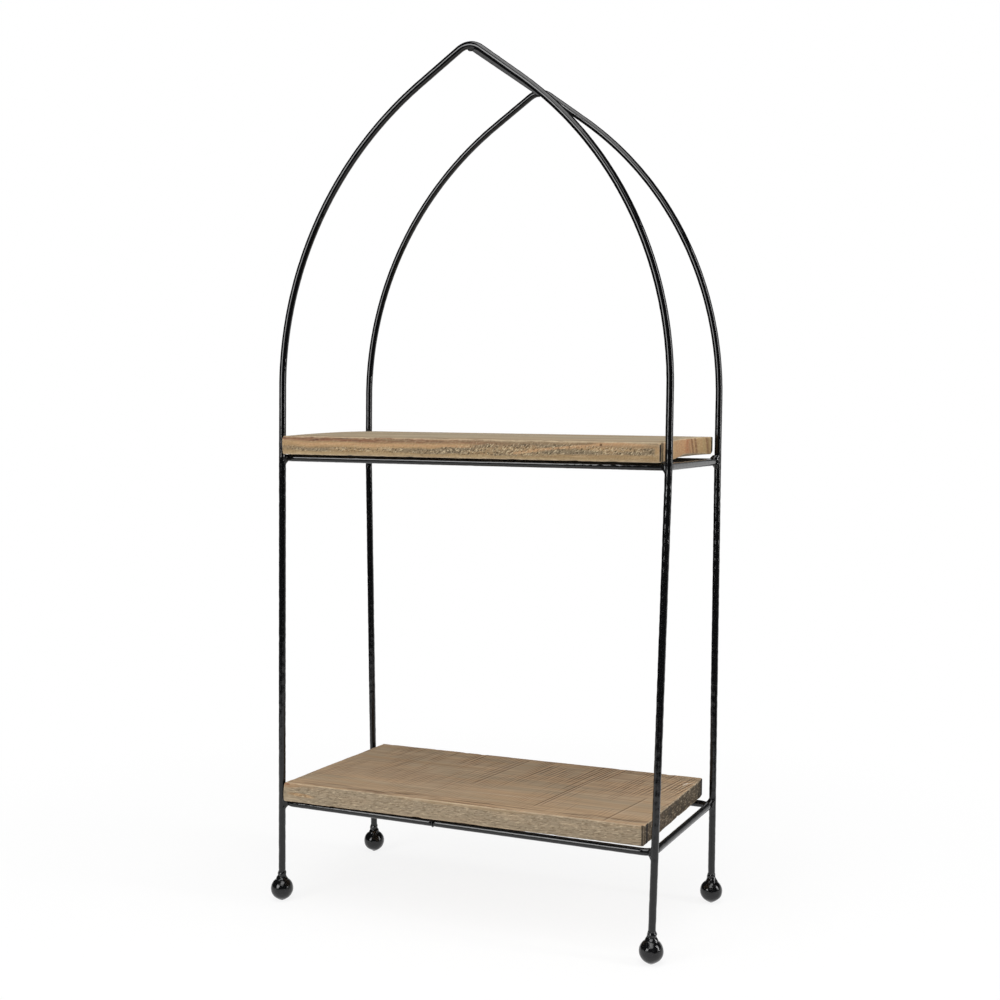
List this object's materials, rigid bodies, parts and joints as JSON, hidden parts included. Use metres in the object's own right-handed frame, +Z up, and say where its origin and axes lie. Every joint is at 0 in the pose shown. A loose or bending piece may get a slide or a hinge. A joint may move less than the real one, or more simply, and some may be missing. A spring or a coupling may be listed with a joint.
{
  "type": "etagere",
  "caption": "Small free-standing etagere of welded black wire with a pointed arch over its top, ball feet and loose weathered wooden shelf boards.",
  "frame": {"origin": "on the floor, in the middle of the ball feet", "axes": "+Z up, front towards -Y, length along X"},
  "size_m": [0.3318, 0.175, 0.6617],
  "materials": {
    "black_lacquer": "gloss black lacquer on steel rod",
    "black_lacquer_on_welds": "gloss black lacquer over rough welds",
    "black_lacquer_on_feet": "thick gloss black lacquer on steel balls",
    "weathered_pine_upper": "weathered, stained brown-grey, matt",
    "weathered_pine_lower": "weathered, sawn, stained brown-grey, matt"
  },
  "bodies": {
    "frame": {"front_arch_wire": "black_lacquer", "back_arch_wire": "black_lacquer", "ridge_rod": "black_lacquer", "upper_shelf_frame": "black_lacquer", "lower_shelf_frame": "black_lacquer", "upper_corner_weld_front_left": "black_lacquer_on_welds", "upper_corner_weld_front_right": "black_lacquer_on_welds", "upper_corner_weld_back_left": "black_lacquer_on_welds", "upper_corner_weld_back_right": "black_lacquer_on_welds", "lower_corner_weld_front_left": "black_lacquer_on_welds", "lower_corner_weld_front_right": "black_lacquer_on_welds", "lower_corner_weld_back_left": "black_lacquer_on_welds", "lower_corner_weld_back_right": "black_lacquer_on_welds", "foot_weld_front_left": "black_lacquer_on_welds", "foot_weld_front_right": "black_lacquer_on_welds", "foot_weld_back_left": "black_lacquer_on_welds", "foot_weld_back_right": "black_lacquer_on_welds", "ridge_weld_front": "black_lacquer_on_welds", "ridge_weld_back": "black_lacquer_on_welds", "upper_butt_weld": "black_lacquer_on_welds", "lower_butt_weld": "black_lacquer_on_welds", "foot_ball_front_left": "black_lacquer_on_feet", "foot_ball_front_right": "black_lacquer_on_feet", "foot_ball_back_left": "black_lacquer_on_feet", "foot_ball_back_right": "black_lacquer_on_feet"},
    "upper_board": {"upper_board": "weathered_pine_upper"},
    "lower_board": {"lower_board": "weathered_pine_lower"}
  },
  "joints": [
    {"name": "upper_board_lift", "type": "slide", "parent": "frame", "child": "upper_board", "axis": [0, 0, 1], "range_m": [0, 0.04]},
    {"name": "lower_board_lift", "type": "slide", "parent": "frame", "child": "lower_board", "axis": [0, 0, 1], "range_m": [0, 0.04]}
  ]
}
